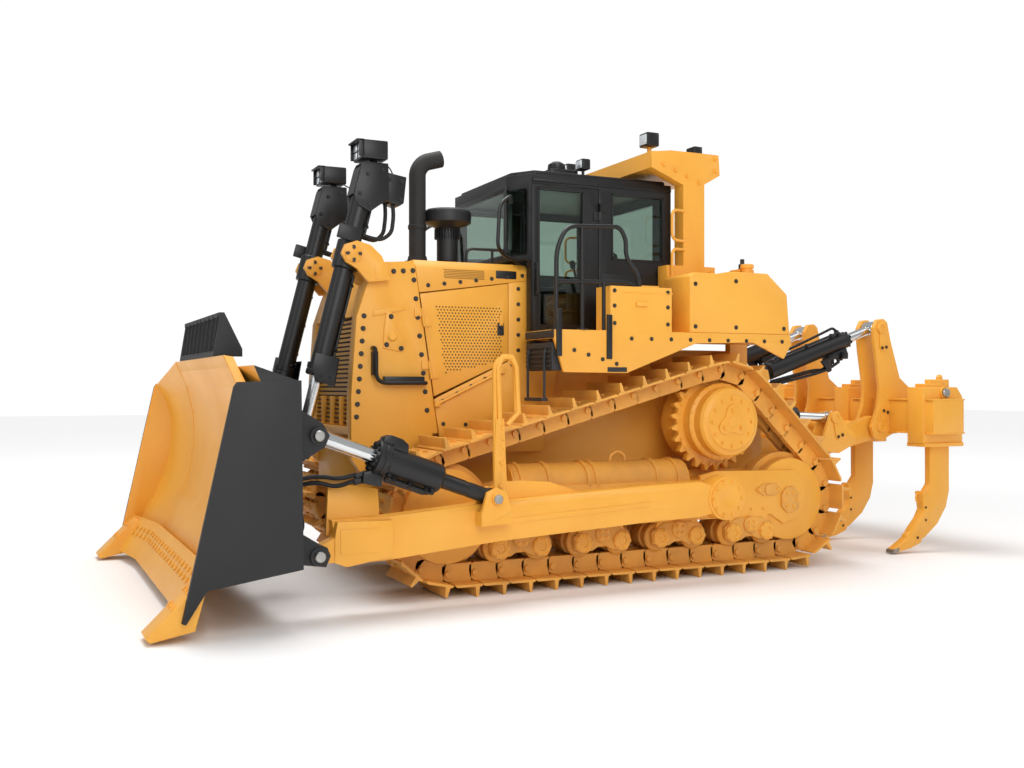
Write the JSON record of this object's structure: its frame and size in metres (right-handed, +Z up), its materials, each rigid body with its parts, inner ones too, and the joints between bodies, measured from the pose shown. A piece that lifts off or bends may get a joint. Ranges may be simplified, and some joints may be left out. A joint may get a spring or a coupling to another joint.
{
  "type": "bulldozer",
  "caption": "Large crawler tractor with an enclosed cab, a wide curved blade on push arms and lift cylinders, and a rear ripper with straight shanks.",
  "frame": {"origin": "centre of the machine's length and width, on the ground", "axes": "+X forward, from the ripper to the blade; +Y to the operator's left; +Z up"},
  "size_m": [8.2396, 4.31, 4.08],
  "materials": {
    "yellow_paint": "satin machine enamel",
    "moldboard_paint": "satin machine enamel on the curved face",
    "black_paint": "semi-gloss black",
    "stack_black": "heat-resistant matte black",
    "black_plastic": "moulded",
    "seat_cloth": "woven seat cover",
    "cab_glass": "clear safety glass",
    "track_paint": "dusty machine enamel over forged steel",
    "drive_paint": "satin machine enamel",
    "chrome_rod": "ground hard chrome",
    "pin_steel": "turned steel"
  },
  "bodies": {
    "tractor": {"main_frame": "yellow_paint", "engine": "yellow_paint", "radiator_guard": "yellow_paint", "hood": "yellow_paint", "exhaust_stack": "stack_black", "air_precleaner": "black_plastic", "cab_shell": "black_paint", "windscreen": "cab_glass", "rear_window": "cab_glass", "operator_station": "seat_cloth", "rops": "yellow_paint", "fuel_tank": "yellow_paint", "side_panel_L": "yellow_paint", "side_panel_R": "yellow_paint", "side_window_L": "cab_glass", "side_window_R": "cab_glass", "fender_L": "yellow_paint", "fender_R": "yellow_paint", "platform_rail_L": "black_paint", "platform_rail_R": "black_paint", "track_L": "track_paint", "track_R": "track_paint", "track_frame_L": "yellow_paint", "track_frame_R": "yellow_paint", "final_drive_L": "drive_paint", "final_drive_R": "drive_paint"},
    "push_arms": {"push_arm_L": "yellow_paint", "push_arm_R": "yellow_paint"},
    "blade_group": {"blade": "moldboard_paint", "cutting_edge": "yellow_paint", "trash_rack": "black_paint"},
    "lift_barrels": {"lift_barrel_L": "black_paint", "lift_barrel_R": "black_paint"},
    "lift_rods": {"lift_rod_L": "chrome_rod", "lift_rod_R": "chrome_rod"},
    "tilt_barrels": {"tilt_barrel_L": "black_paint", "tilt_barrel_R": "black_paint"},
    "tilt_rods": {"tilt_rod_L": "chrome_rod", "tilt_rod_R": "chrome_rod"},
    "link": {"ripper_link": "yellow_paint"},
    "pins": {"ripper_pins": "pin_steel"},
    "beam": {"ripper_beam": "yellow_paint", "ripper_shank_1": "yellow_paint", "ripper_shank_2": "yellow_paint", "ripper_shank_3": "yellow_paint"},
    "tip_barrels": {"tip_barrel_L": "black_paint", "tip_barrel_R": "black_paint"},
    "tip_rods": {"tip_rod_L": "chrome_rod", "tip_rod_R": "chrome_rod"},
    "ripper_lift_barrels": {"ripper_lift_barrel_L": "black_paint", "ripper_lift_barrel_R": "black_paint"},
    "ripper_lift_rods": {"ripper_lift_rod_L": "chrome_rod", "ripper_lift_rod_R": "chrome_rod"},
    "cab_door_left": {"cab_door_L": "black_paint", "door_glass_L": "cab_glass"},
    "cab_door_right": {"cab_door_R": "black_paint", "door_glass_R": "cab_glass"},
    "engine_door_left": {"engine_door_L": "yellow_paint"},
    "engine_door_right": {"engine_door_R": "yellow_paint"}
  },
  "joints": [
    {"name": "blade_lift", "type": "hinge", "parent": "tractor", "child": "push_arms", "pos_m": [-0.73175, 0, 0.735], "axis": [0, -1, 0], "range_deg": [-7.4, 17.7]},
    {"name": "blade_pitch", "type": "hinge", "parent": "push_arms", "child": "blade_group", "pos_m": [2.90625, 0, 0.483], "axis": [0, -1, 0], "range_deg": [-5, 5]},
    {"name": "lift_swing", "type": "hinge", "parent": "tractor", "child": "lift_barrels", "pos_m": [2.32725, 0, 2.81], "axis": [0, -1, 0], "range_deg": [-3.1, 7.3]},
    {"name": "lift_slide", "type": "slide", "parent": "lift_barrels", "child": "lift_rods", "axis": [0.2456, 0, -0.9694], "range_m": [-1.09, 0.46]},
    {"name": "tilt_swing", "type": "hinge", "parent": "push_arms", "child": "tilt_barrels", "pos_m": [1.50725, 0, 0.836], "axis": [0, -1, 0], "range_deg": [-1.1, 1.1]},
    {"name": "tilt_slide", "type": "slide", "parent": "tilt_barrels", "child": "tilt_rods", "axis": [0.9392, 0, 0.3433], "range_m": [-0.075, 0.075]},
    {"name": "ripper_lift", "type": "hinge", "parent": "tractor", "child": "link", "pos_m": [-2.31275, 0, 0.97], "axis": [0, 1, 0], "range_deg": [-32, 33]},
    {"name": "ripper_level", "type": "hinge", "parent": "link", "child": "pins", "pos_m": [-3.49975, 0, 1.276], "axis": [0, 1, 0], "range_deg": [-33.1, 32.1]},
    {"name": "ripper_tip", "type": "hinge", "parent": "pins", "child": "beam", "pos_m": [-3.49975, 0, 1.276], "axis": [0, 1, 0], "range_deg": [-12, 14]},
    {"name": "tip_swing", "type": "hinge", "parent": "tractor", "child": "tip_barrels", "pos_m": [-1.96275, 0, 1.8], "axis": [0, 1, 0], "range_deg": [-24.3, 25]},
    {"name": "tip_slide", "type": "slide", "parent": "tip_barrels", "child": "tip_rods", "axis": [-0.9459, 0, 0.3245], "range_m": [-0.25, 0.21]},
    {"name": "ripper_lift_swing", "type": "hinge", "parent": "tractor", "child": "ripper_lift_barrels", "pos_m": [-1.61275, 0, 1.44], "axis": [0, 1, 0], "range_deg": [-12, 12.5]},
    {"name": "ripper_lift_slide", "type": "slide", "parent": "ripper_lift_barrels", "child": "ripper_lift_rods", "axis": [-0.9988, 0, -0.0481], "range_m": [-0.25, 0.245]},
    {"name": "cab_door_left_hinge", "type": "hinge", "parent": "tractor", "child": "cab_door_left", "pos_m": [0.02225, 0.867, 2.192], "axis": [0, 0, 1], "range_deg": [0, 50]},
    {"name": "cab_door_right_hinge", "type": "hinge", "parent": "tractor", "child": "cab_door_right", "pos_m": [0.02225, -0.867, 2.192], "axis": [0, 0, -1], "range_deg": [0, 50]},
    {"name": "engine_door_left_hinge", "type": "hinge", "parent": "tractor", "child": "engine_door_left", "pos_m": [1.58725, 0.737, 1.601], "axis": [-0.1441, 0, -0.9896], "range_deg": [0, 110]},
    {"name": "engine_door_right_hinge", "type": "hinge", "parent": "tractor", "child": "engine_door_right", "pos_m": [1.58725, -0.737, 1.601], "axis": [0.1441, 0, 0.9896], "range_deg": [0, 110]}
  ],
  "couplings": [
    {"joint": "lift_swing", "follows": "blade_lift", "ratio": 0.41},
    {"joint": "lift_slide", "follows": "blade_lift", "m_per_rad": -3.52},
    {"joint": "tilt_swing", "follows": "blade_pitch", "ratio": 0.2},
    {"joint": "tilt_slide", "follows": "blade_pitch", "m_per_rad": -0.81},
    {"joint": "ripper_level", "follows": "ripper_lift", "ratio": -1},
    {"joint": "tip_swing", "follows": "ripper_lift", "ratio": 0.755},
    {"joint": "tip_slide", "follows": "ripper_tip", "m_per_rad": -1},
    {"joint": "ripper_lift_swing", "follows": "ripper_lift", "ratio": 0.37},
    {"joint": "ripper_lift_slide", "follows": "ripper_lift", "m_per_rad": -0.43}
  ]
}
